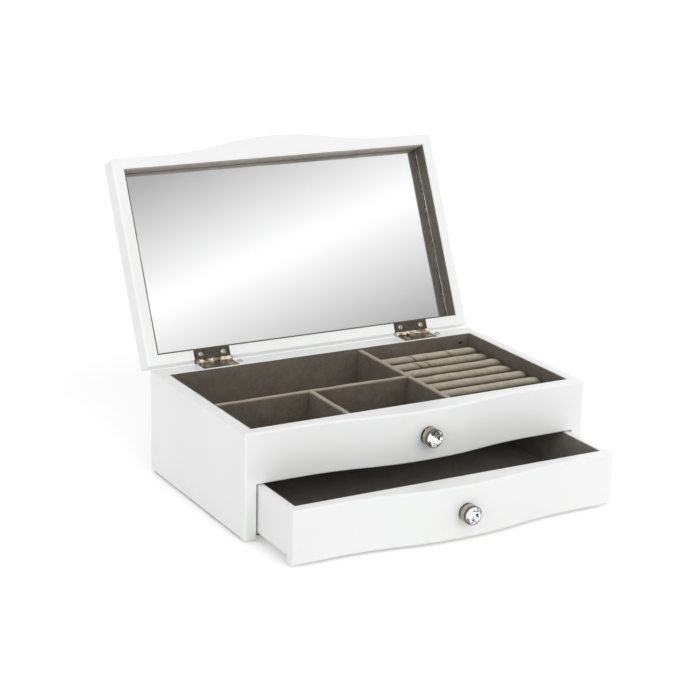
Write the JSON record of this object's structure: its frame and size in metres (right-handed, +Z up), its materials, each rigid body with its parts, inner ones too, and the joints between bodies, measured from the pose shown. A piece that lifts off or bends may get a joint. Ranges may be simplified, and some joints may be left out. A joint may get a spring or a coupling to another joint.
{
  "type": "jewellery box",
  "caption": "Two-level lacquered jewellery box: hinged mirror lid, lined tray with dividers and ring rolls, and a lined drawer behind a serpentine front with crystal knobs.",
  "frame": {"origin": "on the table, under the middle of the case between its side panels and between its flat front and back faces", "axes": "+X to the right of someone facing the front, +Y to the back, +Z up; the front faces -Y"},
  "size_m": [0.29, 0.3337, 0.2419],
  "materials": {
    "lacquer": "white satin lacquer on fibreboard",
    "board_edge": "white painted board",
    "tray_velvet": "taupe velvet",
    "ring_velvet": "taupe velvet",
    "drawer_velvet": "dark velvet",
    "mirror": "silvered glass",
    "antique_metal": "antique nickel plate",
    "nickel": "polished nickel",
    "crystal": "cut and polished",
    "steel": "zinc plated",
    "clear_dot": "clear soft plastic",
    "felt": "felt"
  },
  "bodies": {
    "case": {"base_felt_sheet": "felt", "case_back_panel": "lacquer", "case_base_panel": "board_edge", "case_front_board": "lacquer", "case_hinge_screws": "antique_metal", "case_left_side": "lacquer", "case_right_side": "lacquer", "cross_divider": "tray_velvet", "fascia_knob_crystal": "crystal", "fascia_knob_cup": "nickel", "fascia_knob_screw": "steel", "hinge_left_case_leaf": "antique_metal", "hinge_left_pin": "antique_metal", "hinge_right_case_leaf": "antique_metal", "hinge_right_pin": "antique_metal", "lid_bumpers": "clear_dot", "long_divider": "tray_velvet", "ring_roll_1": "ring_velvet", "ring_roll_2": "ring_velvet", "ring_roll_3": "ring_velvet", "ring_roll_4": "ring_velvet", "ring_roll_5": "ring_velvet", "ring_roll_6": "ring_velvet", "ring_roll_7": "ring_velvet", "ring_roll_platform": "ring_velvet", "short_divider": "tray_velvet", "tray_deck_panel": "board_edge", "tray_lining_back": "tray_velvet", "tray_lining_floor": "tray_velvet", "tray_lining_front": "tray_velvet", "tray_lining_left": "tray_velvet", "tray_lining_right": "tray_velvet"},
    "lid": {"lid_front_rail": "lacquer", "lid_hinge_screws": "antique_metal", "lid_left_rail": "lacquer", "lid_lining_front": "tray_velvet", "lid_lining_left": "tray_velvet", "lid_lining_rear": "tray_velvet", "lid_lining_right": "tray_velvet", "lid_rear_rail": "lacquer", "lid_right_rail": "lacquer", "lid_top_panel": "lacquer", "mirror_glass": "mirror", "hinge_left_lid_leaf": "antique_metal", "hinge_right_lid_leaf": "antique_metal"},
    "drawer": {"drawer_back": "lacquer", "drawer_bottom": "lacquer", "drawer_front": "lacquer", "drawer_knob_crystal": "crystal", "drawer_knob_cup": "nickel", "drawer_knob_screw": "steel", "drawer_left_side": "lacquer", "drawer_lining_back": "drawer_velvet", "drawer_lining_floor": "drawer_velvet", "drawer_lining_front": "drawer_velvet", "drawer_lining_left": "drawer_velvet", "drawer_lining_right": "drawer_velvet", "drawer_right_side": "lacquer"}
  },
  "joints": [
    {"name": "lid_hinge", "type": "hinge", "parent": "case", "child": "lid", "pos_m": [0, 0.0838, 0.0833], "axis": [-1, 0, 0], "range_deg": [-115, 0]},
    {"name": "drawer_slide", "type": "slide", "parent": "case", "child": "drawer", "axis": [0, -1, 0], "range_m": [-0.055, 0.045]}
  ]
}
